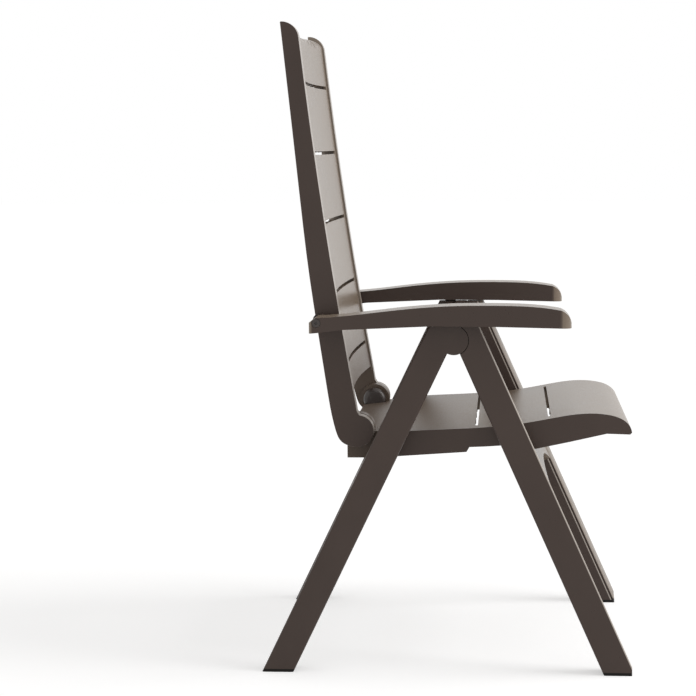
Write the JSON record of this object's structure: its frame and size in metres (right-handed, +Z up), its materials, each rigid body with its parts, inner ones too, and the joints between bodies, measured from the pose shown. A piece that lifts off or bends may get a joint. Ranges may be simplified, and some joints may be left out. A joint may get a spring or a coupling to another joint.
{
  "type": "reclining garden armchair",
  "caption": "Folding garden armchair in moulded resin with slotted seat and backrest, reclining back and armrests that catch on pegs above the crossed legs.",
  "frame": {"origin": "on the floor, at the middle of the chair's bounding box with the back at its most upright", "axes": "+Z up, -Y the way the chair faces, +X across the chair to the sitter's left"},
  "size_m": [0.66, 0.6244, 1.0957],
  "materials": {
    "resin": "matt, fine grain",
    "pin_steel": "painted to match the resin",
    "foot_rubber": "matt",
    "bearing_plastic": "smooth"
  },
  "bodies": {
    "rear_frame": {"rear_leg_left": "resin", "rear_leg_right": "resin", "rear_cross_panel": "resin", "rear_panel_dowels": "resin", "rear_foot_caps": "foot_rubber", "leg_pivot_pins": "pin_steel", "catch_pegs": "pin_steel", "seat_hinge_pins": "pin_steel", "seat_hinge_washers": "bearing_plastic"},
    "front_frame": {"front_leg_left": "resin", "front_leg_right": "resin", "front_cross_panel": "resin", "front_panel_dowels": "resin", "front_foot_caps": "foot_rubber", "leg_pivot_washers": "bearing_plastic"},
    "seat": {"seat_shell": "resin"},
    "back_pins": {"back_hinge_pins": "pin_steel", "back_hinge_washers": "bearing_plastic"},
    "backrest": {"backrest_shell": "resin"},
    "arm_pin_left": {"arm_pivot_pin_left": "pin_steel", "arm_pivot_nut_left": "pin_steel"},
    "arm_bush_left": {"arm_pivot_bush_left": "bearing_plastic"},
    "armrest_left": {"armrest_left": "resin"},
    "arm_pin_right": {"arm_pivot_pin_right": "pin_steel", "arm_pivot_nut_right": "pin_steel"},
    "arm_bush_right": {"arm_pivot_bush_right": "bearing_plastic"},
    "armrest_right": {"armrest_right": "resin"}
  },
  "joints": [
    {"name": "leg_fold", "type": "hinge", "parent": "rear_frame", "child": "front_frame", "pos_m": [0, -0.013, 0.565], "axis": [1, 0, 0], "range_deg": [0, 49]},
    {"name": "seat_fold", "type": "hinge", "parent": "rear_frame", "child": "seat", "pos_m": [0, 0.098, 0.39], "axis": [-1, 0, 0], "range_deg": [0, 64]},
    {"name": "back_fold", "type": "hinge", "parent": "seat", "child": "back_pins", "pos_m": [0, 0.151, 0.4065], "axis": [1, 0, 0], "range_deg": [0, 92]},
    {"name": "recline", "type": "hinge", "parent": "back_pins", "child": "backrest", "pos_m": [0, 0.151, 0.4065], "axis": [-1, 0, 0], "range_deg": [0, 34.6]},
    {"name": "arm_fold_left", "type": "hinge", "parent": "backrest", "child": "arm_pin_left", "pos_m": [0.29, 0.2135, 0.5965], "axis": [-1, 0, 0], "range_deg": [0, 92]},
    {"name": "arm_recline_left", "type": "hinge", "parent": "arm_pin_left", "child": "arm_bush_left", "pos_m": [0.29, 0.2135, 0.5965], "axis": [1, 0, 0], "range_deg": [0, 22.2]},
    {"name": "arm_lift_left", "type": "hinge", "parent": "arm_bush_left", "child": "armrest_left", "pos_m": [0.29, 0.2135, 0.5965], "axis": [-1, 0, 0], "range_deg": [0, 15]},
    {"name": "arm_fold_right", "type": "hinge", "parent": "backrest", "child": "arm_pin_right", "pos_m": [-0.29, 0.2135, 0.5965], "axis": [-1, 0, 0], "range_deg": [0, 92]},
    {"name": "arm_recline_right", "type": "hinge", "parent": "arm_pin_right", "child": "arm_bush_right", "pos_m": [-0.29, 0.2135, 0.5965], "axis": [1, 0, 0], "range_deg": [0, 22.2]},
    {"name": "arm_lift_right", "type": "hinge", "parent": "arm_bush_right", "child": "armrest_right", "pos_m": [-0.29, 0.2135, 0.5965], "axis": [-1, 0, 0], "range_deg": [0, 15]}
  ],
  "couplings": [
    {"joint": "seat_fold", "follows": "leg_fold", "ratio": 1.3056},
    {"joint": "back_fold", "follows": "leg_fold", "ratio": 1.8771},
    {"joint": "arm_fold_left", "follows": "leg_fold", "ratio": 1.8771},
    {"joint": "arm_recline_left", "follows": "recline", "ratio": 0.6411},
    {"joint": "arm_fold_right", "follows": "leg_fold", "ratio": 1.8771},
    {"joint": "arm_recline_right", "follows": "recline", "ratio": 0.6411}
  ]
}
